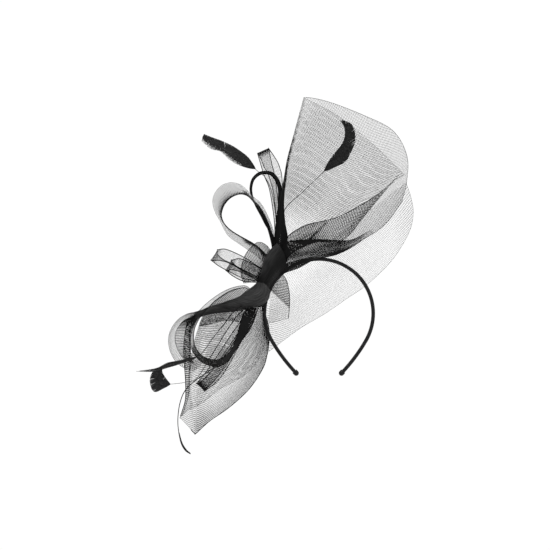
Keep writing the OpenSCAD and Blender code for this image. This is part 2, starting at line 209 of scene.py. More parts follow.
def crin(name, node, ribs, nu, nv, thread, shade, edges, pleats=None, cloth="crinoline"):
    """A sheet of crinoline. thread is the thread's share of the mesh pitch where the weave lies flat, and grows
    as the weave is drawn together. shade(u, v, grid) multiplies it. edges gives each selvedge cord's radius in
    mm: e end, a first rib, b last rib; it may be a function of the way along the edge. pleats is (count, height
    in mm, how fast they fade away from the root)."""
    least_squeeze, pleat_tint, least_share, most_share = 0.6, 0.45, 0.03, 1.2
    grid = surface(ribs, nu, nv)
    u, v = lattice(nu, nv)
    uv, flat, squeeze = cloth_uv(grid)
    ripple = np.zeros_like(u)
    if pleats:
        count, height, dying = pleats
        swing = 2 * math.pi * (count * v + 0.35 * np.sin(7 * v + 1.3) + 0.12 * np.sin(9 * u))
        ripple = np.sin(swing) * np.exp(-dying * u)
        grid = grid + normals(grid) * (height * ripple * np.minimum(1, u * 12))[:, :, None]
    share = thread / np.maximum(squeeze, least_squeeze) * (1 + pleat_tint * ripple)
    if shade:
        share = share * shade(u, v, grid)
    obj = make(name, grid.reshape(-1, 3), grid_faces(nu, nv), MATERIALS[cloth])
    set_uv(obj, uv * MM)
    set_value(obj, "thread", np.clip(share, least_share, most_share))
    seat(obj, node)
    sides = {"e": grid[-1], "a": grid[:, 0], "b": grid[:, -1]}
    paths = [sides[k] for k in edges]
    radii = [r(np.linspace(0, 1, len(sides[k]))) if callable(r) else r for k, r in edges.items()]
    rim = tubes(name + "_selvedge", paths, radii, MATERIALS["selvedge"], sides=5)
    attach(rim, BODY)


# ---- Materials ----

def grey(level):
    return (level, level, level)


def material(name):
    m = bpy.data.materials.new(name)
    m.use_nodes = True
    return m, m.node_tree, m.node_tree.nodes["Principled BSDF"]


def math_node(tree, kind, *values):
    n = tree.nodes.new("ShaderNodeMath")
    n.operation = kind
    for i, v in enumerate(values):
        if isinstance(v, (int, float)):
            n.inputs[i].default_value = v
        else:
            tree.links.new(v, n.inputs[i])
    return n.outputs[0]


def noise(tree, vector, scale, detail=2.0, stretch=(1, 1, 1)):
    place = tree.nodes.new("ShaderNodeMapping")
    place.inputs["Scale"].default_value = stretch
    tree.links.new(vector, place.inputs["Vector"])
    n = tree.nodes.new("ShaderNodeTexNoise")
    n.inputs["Scale"].default_value = scale
    n.inputs["Detail"].default_value = detail
    tree.links.new(place.outputs[0], n.inputs["Vector"])
    return n.outputs["Fac"]


def ramp(tree, fac, low, high, at=(0.3, 0.7)):
    r = tree.nodes.new("ShaderNodeValToRGB")
    for stop, place, c in zip(r.color_ramp.elements, at, (low, high)):
        stop.position = place
        stop.color = (*c, 1)
    tree.links.new(fac, r.inputs[0])
    return r.outputs[0]


def bump(tree, shader, height, strength, distance):
    b = tree.nodes.new("ShaderNodeBump")
    b.inputs["Strength"].default_value = strength
    b.inputs["Distance"].default_value = distance
    tree.links.new(height, b.inputs["Height"])
    tree.links.new(b.outputs[0], shader.inputs["Normal"])


def surface_values(shader, rough, specular):
    shader.inputs["Roughness"].default_value = rough
    shader.inputs["Specular IOR Level"].default_value = specular


def sheen(shader, weight, rough):
    shader.inputs["Sheen Weight"].default_value = weight
    shader.inputs["Sheen Roughness"].default_value = rough


def attribute(tree, name):
    n = tree.nodes.new("ShaderNodeAttribute")
    n.attribute_name = name
    return n.outputs["Fac"]


def object_place(tree):
    return tree.nodes.new("ShaderNodeTexCoord").outputs["Object"]


def uv_place(tree):
    n = tree.nodes.new("ShaderNodeUVMap")
    n.uv_map = CLOTH_UV
    return n.outputs[0]


def open_mesh(name, pitch, waver):
    """Diagonal open mesh of round nylon threads, see-through between them. pitch is in mm, and waver is how far
    the threads drift, in pitches. Their width comes from each point's thread value."""
    m, tree, shader = material(name)
    uv = uv_place(tree)
    split = tree.nodes.new("ShaderNodeSeparateXYZ")
    tree.links.new(uv, split.inputs[0])
    x, y = split.outputs[0], split.outputs[1]
    drift = math_node(tree, "MULTIPLY", math_node(tree, "SUBTRACT", noise(tree, uv, 45, 1), 0.5), waver)
    per = 1 / (math.sqrt(2) * pitch * MM)
    half = math_node(tree, "MULTIPLY", attribute(tree, "thread"), 0.5)
    masks, crowns = [], []
    for kind in ("ADD", "SUBTRACT"):
        line = math_node(tree, "MULTIPLY", math_node(tree, kind, x, y), per)
        line = math_node(tree, "ADD", line, drift)
        off = math_node(tree, "PINGPONG", line, 0.5)
        masks.append(math_node(tree, "LESS_THAN", off, half))
        crowns.append(off)
    tree.links.new(math_node(tree, "MAXIMUM", *masks), shader.inputs["Alpha"])
    tone = noise(tree, uv, 900, 2)
    tree.links.new(ramp(tree, tone, grey(0.002), grey(0.009)), shader.inputs["Base Color"])
    height = math_node(tree, "SUBTRACT", 0.5, math_node(tree, "MINIMUM", *crowns))
    bump(tree, shader, height, 0.5, 0.0004)
    surface_values(shader, 0.45, 0.06)
    return m


def gathered(name):
    """Crinoline drawn together until it is closed: fine streaks along the gather and the weave's grain. Each
    point's tone value lightens or darkens it; on the knot it carries a painted sheen, a lighter band."""
    m, tree, shader = material(name)
    uv = uv_place(tree)
    streaks = noise(tree, uv, 60, 3, (1.2, 16, 1))
    grain = noise(tree, uv, 1500, 1)
    lit = tree.nodes.new("ShaderNodeVectorMath")
    lit.operation = "SCALE"
    parts = [math_node(tree, "MULTIPLY", streaks, 0.75), math_node(tree, "MULTIPLY", grain, 0.25)]
    colour = ramp(tree, math_node(tree, "ADD", *parts), grey(0.002), grey(0.02), (0.35, 0.65))
    tree.links.new(colour, lit.inputs[0])
    tree.links.new(attribute(tree, "tone"), lit.inputs["Scale"])
    tree.links.new(lit.outputs[0], shader.inputs["Base Color"])
    height = math_node(tree, "ADD", streaks, math_node(tree, "MULTIPLY", grain, 0.35))
    bump(tree, shader, height, 0.45, 0.0012)
    surface_values(shader, 0.5, 0.1)
    sheen(shader, 0.01, 0.5)
    return m


def plain(name, low, high, rough, scale, strength, distance, stretch=(1, 1, 1), specular=0.5):
    """An opaque material whose fine grain, in colour and relief, is laid on by place. strength and distance are
    the bump's."""
    m, tree, shader = material(name)
    grain = noise(tree, object_place(tree), scale, 3, stretch)
    tree.links.new(ramp(tree, grain, low, high), shader.inputs["Base Color"])
    bump(tree, shader, grain, strength, distance)
    surface_values(shader, rough, specular)
    return m


def satin(name):
    """Satin ribbon: fine ribs across the band, soft puckers and a faint sheen."""
    rib_pitch = 0.32 * MM
    m, tree, shader = material(name)
    uv = uv_place(tree)
    split = tree.nodes.new("ShaderNodeSeparateXYZ")
    tree.links.new(uv, split.inputs[0])
    ribs = math_node(tree, "SINE", math_node(tree, "MULTIPLY", split.outputs[1], 2 * math.pi / rib_pitch))
    pucker = noise(tree, uv, 240, 2, (1, 0.35, 1))
    colour = ramp(tree, pucker, (0.003, 0.003, 0.0032), (0.008, 0.008, 0.0085))
    tree.links.new(colour, shader.inputs["Base Color"])
    height = math_node(tree, "ADD", math_node(tree, "MULTIPLY", ribs, 0.06), pucker)
    bump(tree, shader, height, 0.35, 0.0006)
    surface_values(shader, 0.36, 0.22)
    sheen(shader, 0.015, 0.35)
    return m


MATERIALS = {
    "crinoline": open_mesh("crinoline_mesh", 1.8, 0.5),
    "veil": open_mesh("crinoline_veil", 2.2, 0.4),
    "close": open_mesh("crinoline_close", 1.5, 0.4),
    "ribbon": open_mesh("crinoline_ribbon", 1.3, 0.2),
    "selvedge": plain("selvedge_cord", grey(0.001), grey(0.005), 0.5, 2500, 0.4, 0.0002, specular=0.05),
    "wrap": gathered("gathered_crinoline"),
    "satin": satin("black_satin"),
    "barbs": plain("feather_barbs", grey(0.002), grey(0.035), 0.45, 700, 0.3, 0.0002, specular=0.12),
    "quill": plain("feather_quill", grey(0.002), grey(0.008), 0.4, 300, 0.2, 0.0002, (1, 1, 0.2), 0.15),
    "thread": plain("binding_thread", grey(0.002), grey(0.008), 0.6, 3000, 0.6, 0.0002, specular=0.15),
    "felt": plain("black_felt", grey(0.004), grey(0.012), 0.9, 1800, 0.8, 0.0005, specular=0.1),
    "strip": plain("spring_strip", (0.03, 0.03, 0.032), (0.05, 0.05, 0.052), 0.35, 400, 0.15, 0.0001,
                   (1, 1, 0.1)),
}


def dress(node, key):
    """Gives a CAD node that stays in view its material."""
    mesh = frame["nodes"][node].data
    mesh.materials.clear()
    mesh.materials.append(MATERIALS[key])


# ---- Head band ----

# Angles are in degrees round the head's centre, from its side, 0, to its top, 90. LEG_R is the bend of the legs
# below the round part.
ROUND_END_DEG = 30
LEG_R = 200
LEG_DEG = 13
COVER_SPLIT_DEG = 150
BAND_MID_R = (HEAD_R + BAND_R_OUT) / 2


def band_path(side, from_deg):
    """Centreline of one side of the band, from an angle on the round part to the leg's end. side is the sign of
    its X."""
    round_part = [(BAND_MID_R * math.cos(math.radians(a)), BAND_MID_R * math.sin(math.radians(a)))
                  for a in np.linspace(from_deg, -ROUND_END_DEG, 90)]
    end = math.radians(-ROUND_END_DEG)
    centre = (HEAD_R - LEG_R) * np.array([math.cos(end), math.sin(end)])
    radius = LEG_R - HEAD_R + BAND_MID_R
    turns = end - np.radians(np.linspace(0, LEG_DEG, 30)[1:])
    leg = [(centre[0] + radius * math.cos(a), centre[1] + radius * math.sin(a)) for a in turns]
    return np.array([(side * x, 0, z) for x, z in round_part + leg])


def bulge(x, power):
    """x with its size raised to a power, to make a rounded rectangle from a circle."""
    return np.sign(x) * np.abs(x) ** power


def band_cover(name, side, from_deg, nodes):
    """The satin over one side of the band, shaped along the curve of its leg."""
    path = band_path(side, from_deg)
    t = unit(np.gradient(path, axis=0))
    out = np.stack([-t[:, 2] * -side, np.zeros(len(t)), t[:, 0] * -side], axis=1)
    sides, roundness = 36, 0.5
    a = np.arange(sides) * 2 * math.pi / sides
    half_t, half_w = (BAND_R_OUT - HEAD_R) / 2, BAND_W / 2
    cx, cy = bulge(np.cos(a), roundness) * half_t, bulge(np.sin(a), roundness) * half_w
    rings = path[:, None, :] + cx[None, :, None] * out[:, None, :] + cy[None, :, None] * np.array([0, 1, 0])
    n = len(path) - 1
    faces = grid_faces(n, sides, closed=True)
    obj = make(name, rings.reshape(-1, 3), faces, MATERIALS["satin"])
    s = arc(size(np.diff(path, axis=0)))
    squareness = 1.3
    around = a * (half_t + half_w) / 2 * squareness
    v, u = np.meshgrid(s, around, indexing="ij")
    set_uv(obj, np.stack([u, v], axis=2) * MM)
    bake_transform(obj)
    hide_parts(*nodes)


band_cover("satin_cover_left", -1, 180 - COVER_SPLIT_DEG, ["left_leg_cover"])
band_cover("satin_cover_right", 1, COVER_SPLIT_DEG, ["right_leg_cover", "band_cover"])
for tip in ("left_tip", "right_tip"):
    dress(tip, "satin")
for strip in ("band_strip", "left_leg_strip", "right_leg_strip"):
    dress(strip, "strip")
dress("felt_pad", "felt")


# ---- Binding ----

# Angles along the band in degrees between which the stems are bound to it.
BIND_FROM, BIND_TO = 127, 174
BUNDLE_R = BAND_R_OUT + 1.5
BUNDLE_H, BUNDLE_W = 10.5, 15


def polar(radius, deg):
    return np.array([radius * math.cos(math.radians(deg)), 0, radius * math.sin(math.radians(deg))])


def bundle_section(deg, grow):
    """Rounded section of the bound stems at an angle on the band, grown by some mm all round."""
    count, roundness = 40, 0.65
    mid = BUNDLE_R + BUNDLE_H / 2
    a = np.arange(count) * 2 * math.pi / count
    r = mid + bulge(np.cos(a), roundness) * (BUNDLE_H / 2 + grow)
    y = bulge(np.sin(a), roundness) * (BUNDLE_W / 2 + grow)
    c, s = math.cos(math.radians(deg)), math.sin(math.radians(deg))
    return np.stack([r * c, y, r * s], axis=1)


def stem_bundle():
    degs = np.linspace(BIND_FROM, BIND_TO, 70)
    rings = []
    for k, deg in enumerate(degs):
        ends = min(k, len(degs) - 1 - k)
        ring = bundle_section(deg, -1.2 * math.exp(-ends / 2.5))
        lumps = 0.35 * np.sin(np.arange(len(ring)) * 2.2 + 0.05 * k)
        mid = polar(BUNDLE_R + BUNDLE_H / 2, deg)
        rings.append(ring + unit(ring - mid) * (lumps - 0.35)[:, None])
    sides = len(rings[0])
    faces = grid_faces(len(rings) - 1, sides, closed=True)
    faces += [tuple(range(sides))[::-1], tuple((len(rings) - 1) * sides + k for k in range(sides))]
    obj = make("bound_stems", np.vstack(rings), faces, MATERIALS["wrap"])
    mm_per_deg, mm_per_side = 1.2, 1.1
    v, u = np.meshgrid(degs * mm_per_deg, np.arange(sides) * mm_per_side, indexing="ij")
    set_uv(obj, np.stack([u, v], axis=2) * MM)
    seat(obj, "stem_bundle")


def binding_thread():
    """Two bands of thread wound over the stems; each turn goes round the outside from one side to the other."""
    turns, pitch_deg = 7, 0.44
    paths = []
    for middle in (BIND_FROM + 22, BIND_TO - 3):
        for k in range(turns):
            deg = middle + (k - turns // 2) * pitch_deg
            ring = bundle_section(deg, 0.25)
            keep = ring[size(ring[:, ::2]) > BUNDLE_R - 0.3]
            height = size(keep[:, ::2]) - BUNDLE_R - BUNDLE_H / 2
            keep = keep[np.argsort(np.arctan2(keep[:, 1], height))]
            one_deg = polar(BUNDLE_R, deg + 1) - polar(BUNDLE_R, deg)
            lean = np.linspace(-0.25, 0.25, len(keep))[:, None] * one_deg
            paths.append(keep + lean)
    obj = tubes("wound_thread", paths, 0.28, MATERIALS["thread"])
    seat(obj, "binding_thread")


stem_bundle()
binding_thread()


# ---- Wraps over the knot ----

def wrap_piece(name, node, ribs, nu, nv, count, tone):
    """Crinoline gathered round the stems in count folds. tone(u, v) lightens or darkens it; on the knot it
    paints a sheen as a lighter band.
    """
    height = 0.3
    grid = surface(ribs, nu, nv)
    u, v = lattice(nu, nv)
    uv, flat, _ = cloth_uv(grid)
    folds = np.sin(2 * math.pi * (count * u + 0.3 * np.sin(5 * v) + 0.1 * np.sin(17 * v)))
    folds += 0.4 * np.sin(2 * math.pi * (2.3 * count * u + 0.5 * v))
    grid = grid + normals(grid) * (height * folds * np.sin(math.pi * u) ** 0.5)[:, :, None]
    obj = make(name, grid.reshape(-1, 3), grid_faces(nu, nv), MATERIALS["wrap"])
    set_uv(obj, uv * MM)
    set_value(obj, "tone", tone(u, v))
    seat(obj, node)


def fade(x, low, high):
    """0 below low, 1 above high, smooth between."""
    t = np.clip((x - low) / (high - low), 0, 1)
    return t * t * (3 - 2 * t)


def near(x, place, width):
    """1 at place, falling smoothly to 0 a few widths away."""
    return np.exp(-((x - place) / width) ** 2)


KNOT_RIBS = [
    [[-66, -6, 8], [-68, -12, 12], [-73, -13, 16], [-78, -8, 16], [-78, 4, 14], [-73, 9, 12]],
    [[-62, -6, 23], [-65, -16, 27], [-70, -18, 33], [-75, -10, 35], [-75, 5, 32], [-69, 10, 27]],
    [[-56, -6, 35], [-58, -17, 41], [-62, -20, 47], [-68.5, -11, 50], [-68.5, 6, 47], [-61, 10, 39]],
    [[-49, -6, 44], [-51, -17, 51], [-57, -20, 59], [-66.5, -10, 63], [-64, 6, 59], [-54, 10, 50]],
    [[-43, -6, 50], [-44, -15, 58], [-50, -18, 69], [-60, -9, 75], [-57, 6, 69], [-48, 10, 56]],
    [[-38, -7, 55], [-39, -14, 62], [-42, -15, 73], [-50, -8, 84], [-50, 5, 76], [-43, 9, 60]]]
# Painted sheen: the knot's tone is dark all over, with a lighter band halfway along its upper ribs.
wrap_piece("knot_wrap_cloth", "knot_wrap", KNOT_RIBS, 50, 60, 2.2,
           lambda u, v: 0.2 + 2.4 * near(u, 0.56, 0.16) * fade(v, 0.25, 0.5))

ARM_RIBS = [
    [[-66, 9, 22], [-61, 2, 24], [-58, -12, 27], [-61, -22, 32], [-66, -20, 36.5], [-71, -10, 40],
     [-72, 6, 36]],
    [[-67, 9, 16], [-63, 0, 15], [-60, -15, 18], [-67, -26, 25], [-73, -21, 31], [-79, -10, 33], [-78, 7, 28]],
    [[-72, 9, 10], [-71, 0, 9], [-71, -15, 10], [-77, -26, 17], [-82, -22, 23.5], [-87, -11, 27], [-84, 6, 23]],
    [[-84, 2, 8], [-85, -8, 5], [-88, -16, 5.5], [-92, -22, 12], [-95, -20, 17], [-97, -12, 20], [-94, -2, 17]],
    [[-106, -6, 5], [-107, -9, 3], [-109, -14, 2], [-110, -18, 7], [-111, -17, 12], [-112, -12, 14],
     [-110, -6, 11]],
    [[-129, -7, 1], [-129, -9, 0], [-129, -13, -0.5], [-130, -16, 3], [-130, -15, 6], [-130, -11, 8.5],
     [-130, -7, 5]],
    [[-148, -7, -4], [-148, -8, -5], [-148, -11, -5.5], [-148, -13, -3], [-149, -13, -1], [-149, -10, 1],
     [-149, -7, -1]]]
wrap_piece("arm_wrap_cloth", "arm_wrap", ARM_RIBS, 50, 110, 1.7, lambda u, v: 2.6 - 0.8 * fade(v, 0.3, 0.8))


# ---- Crinoline ----

# The shade functions make the weave denser where the cloth lies doubled or creased, and more open where it is
# spread. u runs from the root to the end, v from the first rib to the last, and p is each point's place in mm.

def streak(p, line, width):
    """1 on the line of (x, z) points in mm as seen from the front, falling to 0 a few widths away."""
    line = np.asarray(line, float)
    spot = p[..., ::2]
    best = np.full(spot.shape[:-1], 1e9)
    for a, b in zip(line[:-1], line[1:]):
        t = np.clip(((spot - a) @ (b - a)) / ((b - a) @ (b - a)), 0, 1)
        best = np.minimum(best, size(spot - a - t[..., None] * (b - a)))
    return near(best, 0, width)


FAN_RIBS = [
    [[-41, -5, 61], [-24, -13, 86], [0, -18, 106], [48, -23, 129], [102, -26, 165]],
    [[-42, -6, 62], [-28, -17, 94], [-8, -24, 126], [32, -30, 162], [68, -34, 198]],
    [[-43, -6, 62], [-35, -16, 95], [-24, -22, 135], [-2, -30, 187], [26, -32, 233]],
    [[-45, -5, 62], [-43, -11, 98], [-38, -15, 140], [-27, -20, 195], [-4, -16, 251]],
    [[-47, 0, 61], [-46.5, -1, 96], [-45, -2, 132], [-39.5, -3, 178], [-30, -3.5, 215], [-18, -4, 259]],
    [[-46, 4, 60], [-43, 8, 96], [-37, 10, 138], [-20, 12, 197], [10, 10, 255]],
    [[-44, 5, 60], [-33, 13, 94], [-14, 18, 132], [18, 22, 184], [56, 20, 238]],
    [[-42, 6, 60], [-26, 15, 88], [5, 20, 118], [50, 26, 165], [90, 24, 220]],
    [[-41, 6, 59], [-20, 14, 80], [10, 18, 100], [60, 23, 138], [106.5, 21, 190]],
    [[-40.5, 6, 59], [-18, 12, 73], [12, 14, 84], [60, 18, 112], [106, 16, 158]],
    [[-40, 5, 58], [-16, 9, 66], [15, 10, 69], [52, 12, 88], [80, 12, 107], [100, 12, 134]]]
FAN_EDGE = [[-18, 259], [-30, 215], [-39.5, 178], [-45, 132], [-46, 96]]


def fan_shade(u, v, p):
    z = p[..., 2]
    edge = streak(p, FAN_EDGE, 2.4) * (0.9 + 1.6 * (1 - fade(z, 170, 250)))
    rim = 0.35 * near(v, 1, 0.1) * fade(u, 0.5, 0.8)
    wall = (0.85 + 0.5 * fade(v, 0.42, 0.5)) * (0.85 + 0.15 * fade(u, 0.6, 0.9))
    return (wall * (0.3 + 0.7 * fade(u, 0.2, 0.5)) + edge * fade(u, 0.3, 0.6)) * (1 + rim)


def fan_rim(f):
    return np.where(f < 0.42, 0.14, 0.26)


crin("upper_fan_cloth", "upper_fan", FAN_RIBS, 120, 280, 0.128, fan_shade, {"e": fan_rim, "b": 0.3},
     (9, 0.5, 7))

STALK_RIBS = [
    [[-51, -3, 62], [-53, -4, 90], [-51.5, -5, 108], [-49, -5, 128], [-45, -5, 146], [-42.3, -5, 160],
     [-38.6, -4, 180], [-31, -4, 211]],
    [[-46, -7, 62], [-46, -8, 90], [-46.5, -9, 108], [-46, -9, 128], [-43.6, -9, 146], [-41.2, -8, 160],
     [-38, -5.5, 180], [-30.4, -4.5, 211]],
    [[-38, -5, 62], [-37.5, -8, 91], [-40.3, -9.5, 108], [-41.8, -10, 128], [-41, -10, 146], [-39.3, -9, 160],
     [-36.8, -6, 180], [-29.4, -5, 211]]]


def stalk_shade(u, v, p):
    fold = 0.7 * fade(v, 0.45, 0.6) * (1 - fade(u, 0.45, 0.7))
    return (1 - 0.35 * fade(u, 0.3, 0.6) - 0.45 * fade(u, 0.6, 0.98)) * (1 + fold)


crin("fan_stalk_cloth", "upper_fan", STALK_RIBS, 120, 24, 0.72, stalk_shade,
     {"a": lambda f: 0.45 - 0.33 * f, "b": lambda f: 0.35 - 0.27 * f})

LEAF_RIBS = [
    [[-47, -7, 66], [-38, -18, 91], [-17, -25, 105], [6, -29.5, 110.5], [24, -31.5, 116], [50, -34, 129.5],
     [74, -37, 145.5], [96, -39, 166]],
    [[-47, -8, 63], [-32, -22, 82], [-7, -30, 96], [12, -34, 99], [30, -36, 106], [56, -38, 124],
     [74, -38, 141.5], [94, -39.5, 163.5]],
    [[-47, -7, 60], [-27, -20, 75], [-4, -27, 85], [14, -30, 86], [32, -32, 90], [54, -35, 116.5],
     [73, -37, 139.5], [91, -40, 161]]]
CREASE = [[8, 108], [-2, 98], [-11, 89], [-20, 79], [-30, 70]]


def leaf_shade(u, v, p):
    side = 0.55 * (1 - fade(u, 0.25, 0.5)) - 0.12 * fade(u, 0.5, 0.75)
    return (1.08 + 1.1 * streak(p, CREASE, 1.3) + side) * (1 - 0.85 * fade(u, 0.8, 1))


crin("leaf_fold_cloth", "leaf_fold", LEAF_RIBS, 160, 60, 0.3, leaf_shade,
     {"a": lambda f: 0.5 - 0.4 * fade(f, 0.72, 1), "b": lambda f: 0.3 - 0.2 * fade(f, 0.72, 1)}, (3, 0.35, 5))

LOWER_RIBS = [
    [[-50, -7, 66], [-39, -14, 84.5], [-22, -21, 87.5], [0, -22, 88.5], [22, -20, 87.3], [40, -15, 88.5],
     [64, -9, 101]],
    [[-50, -8, 60], [-36, -14, 74], [-18, -20, 78], [2, -21, 80], [22, -17, 80.5], [40, -11, 84.5],
     [65, -5, 99.5]],
    [[-50, -7, 54], [-37, -11, 60.5], [-18, -13, 66], [2, -14, 71], [20, -9, 74.5], [40, -3, 81.5],
     [65, 4, 98]],
    [[-49, -6, 45], [-38, -7, 49.5], [-25, -8, 54], [-9, -8, 62.5], [5, -7, 67], [20, -5, 70], [40, 0, 79.5],
     [64, 5, 96.5]]]
LOWER_TOP = [[-40, 86], [-22, 87.5], [0, 88.5], [22, 87.3], [40, 88.5], [62, 99.5]]


def lower_shade(u, v, p):
    x, z = p[..., 0], p[..., 2]
    base = 1.22 + 0.15 * (1 - fade(x, -44, -34)) + 0.12 * (1 - fade(z - 0.3 * x, 67.5, 79.5))
    folds = 0.2 * streak(p, CREASE, 1.6) + 0.2 * streak(p, [[-30, 66], [-8, 76], [25, 84]], 2.4)
    thin_out = (1 - 0.45 * fade(x, 24, 45)) * (1 - 0.8 * fade(x, 46, 64))
    return (base + folds + 0.2 * streak(p, LOWER_TOP, 1.6)) * thin_out


crin("lower_fold_cloth", "lower_fold", LOWER_RIBS, 160, 60, 0.5, lower_shade,
     {"a": lambda f: 0.55 - 0.48 * fade(f, 0.65, 1), "b": lambda f: 0.3 - 0.22 * fade(f, 0.65, 1)},
     (3, 0.5, 4), "close")

VEIL_RIBS = [
    [[-45, 7, 58], [-20, 14, 70], [20, 24, 92], [66, 36, 128], [106, 38, 158]],
    [[-46, 7, 57], [-18, 14, 67], [24, 26, 86], [72, 38, 117], [112, 39.5, 141]],
    [[-48, 7, 55], [-16, 14, 63], [24, 26, 78], [74, 38, 103], [115, 40, 121]],
    [[-50, 7, 53], [-14, 14, 56], [20, 24, 66], [66, 36, 86], [110, 40, 98]],
    [[-54, 7, 50], [-16, 14, 48], [14, 22, 52], [54, 34, 62], [93, 38, 69]],
    [[-56, 7, 48], [-18, 14, 40], [8, 20, 40], [42, 32, 46], [74, 36, 48]],
    [[-59, 7, 44], [-24, 14, 30], [0, 18, 27], [28, 26, 28], [53, 30, 30]],
    [[-60, 7, 42], [-30, 14, 22], [-10, 18, 16], [12, 24, 14], [34, 27, 17.5]],
    [[-62, 7, 38], [-40, 13, 12], [-24, 16, 2], [-8, 19, -3], [7, 21, -1]],
    [[-65, 7, 33], [-50, 13, 4], [-40, 14, -9], [-30, 15, -15], [-22, 16, -18]],
    [[-71, 7, 20], [-66, 12, -4], [-64, 12, -22], [-62, 12, -36], [-60, 12, -46]]]
crin("veil_cloth", "veil", VEIL_RIBS, 100, 170, 0.088,
     lambda u, v, p: 0.5 + 0.5 * fade(u, 0.2, 0.5) + 0.7 * fade(p[..., 0], 85, 112),
     {"e": 0.17}, (6, 0.5, 7), "veil")

FLAP_RIBS = [
    [[-50, 5, 53], [-40, 7, 42], [-35.5, 8, 26], [-35, 8.5, 11], [-36.5, 8, -6]],
    [[-57, 5, 45], [-47, 8, 30], [-44, 9, 16], [-44, 9.5, 4], [-48, 9, -9]],
    [[-64, 5, 34], [-59, 7, 24], [-59, 8, 12], [-60, 8.5, 0], [-62, 8, -12]]]


def flap_shade(u, v, p):
    across = ((p[..., 0] + 56) * 18 + (p[..., 2] - 26) * 19) / math.hypot(18, 19)
    return 1 + 2.7 * fade(across, -0.8, 0.8) + 0.8 * near(across, 1, 1.5)


crin("inner_flap_cloth", "inner_flap", FLAP_RIBS, 90, 60, 0.11, flap_shade, {"e": 0.16, "a": 0.4},
     cloth="close")

SIDE_RIBS = [
    [[-54, 1, 60], [-57, 3, 72], [-61, 5, 80], [-68, 7, 85], [-74, 8, 85.5]],
    [[-55, 1, 57], [-61, 3, 69], [-68, 6, 77], [-76, 8, 80], [-82, 8.5, 79]],
    [[-57, 1, 54], [-66, 3, 62], [-75, 6, 67], [-84, 8, 69], [-89, 8.5, 69]],
    [[-60, 1, 49], [-69, 3, 53], [-78, 6, 56], [-87, 8, 57], [-93, 8.5, 56]],
    [[-62, 1, 46], [-70, 3, 47], [-79, 6, 47], [-88, 8, 47], [-93.5, 8.5, 46]],
    [[-64, 1, 43], [-70, 3, 41], [-77, 6, 38], [-85, 8, 36.5], [-90, 8, 36]]]
crin("side_leaf_cloth", "side_leaf", SIDE_RIBS, 50, 70, 0.38,
     lambda u, v, p: 1 + 0.5 * (1 - fade(u, 0.1, 0.6)), {"e": 0.4, "a": 0.3}, cloth="close")

LOBE_RIBS = [
    [[-132, -8, 7], [-148, -8, 2], [-158, -6, -0.5], [-168, -3, -6.5], [-175.6, 0, -15.5], [-180, 3, -26],
     [-180.4, 6, -38], [-177, 10, -50], [-171, 15, -59], [-163, 19, -65.5], [-150, 24, -70]],
    [[-132, -5, 5], [-147, -2, 1], [-156, 0, -2.5], [-166, 3, -9], [-173.5, 7, -18], [-177, 11, -30],
     [-175.5, 15, -43], [-171, 19, -51], [-163, 23, -59], [-152, 26, -63], [-142, 28, -63]],
    [[-132, -3, 4], [-146, 2, 0], [-155, 5, -4], [-163, 9, -10], [-169.5, 14, -18], [-172.5, 19, -29],
     [-171.5, 23, -39], [-168, 26, -48], [-160, 29, -55], [-150, 31, -57], [-142, 32, -57]]]
crin("left_lobe_cloth", "left_lobe", LOBE_RIBS, 120, 30, 0.24,
     lambda u, v, p: 1 + 1.2 * (1 - fade(u, 0.1, 0.3)), {"a": 0.2, "b": 0.1}, cloth="close")

LOBE_IN_RIBS = [
    [[-132, -4, 4], [-143, 0, 1], [-152, 4, -3.5], [-162, 8, -8], [-169.5, 13, -17], [-173.3, 17, -26],
     [-172.6, 20, -36.5], [-168, 23, -48.5], [-162, 25, -56], [-154, 27, -60]],
    [[-132, -4, 2], [-140, 0, -2], [-146, 4, -8], [-150, 9, -16], [-153, 13, -25], [-154, 16, -34],
     [-154, 19, -43], [-153, 21, -51], [-152, 23, -57], [-150, 25, -61]]]
crin("left_lobe_inner_layer", "left_lobe", LOBE_IN_RIBS, 90, 30, 0.36,
     lambda u, v, p: 1 + 0.9 * fade(p[..., 2], -24, -6), {"a": 0.1}, cloth="close")

HOOD_RIBS = [
    [[-77, 3, 24], [-83, 3, 28], [-90, 0, 31], [-101, -4, 29.5], [-112, -6, 24.5], [-124, -8, 16],
     [-133, -10, 7], [-139.5, -11, -3]],
    [[-77, 2, 13], [-90, -1, 14], [-104, -5, 13], [-116, -7.5, 9], [-128, -9, 1], [-136, -10.5, -4],
     [-141, -11, -8]],
    [[-77, 1, 2], [-88, -3.5, -11], [-103, -8, -9], [-113, -8.5, -8.5], [-124, -9, -11], [-134, -10, -14],
     [-143, -11, -15]]]


def hood_shade(u, v, p):
    crease = 0.35 * streak(p, [[-139, -3], [-100, 4]], 2.5)
    return 0.95 + 0.8 * fade(p[..., 2], -2, 8) + 0.5 * near(v, 1, 0.12) + crease


crin("ring_hood_cloth", "ring_hood", HOOD_RIBS, 90, 50, 0.24, hood_shade, {"e": 0.2, "b": 0.2},
     cloth="close")

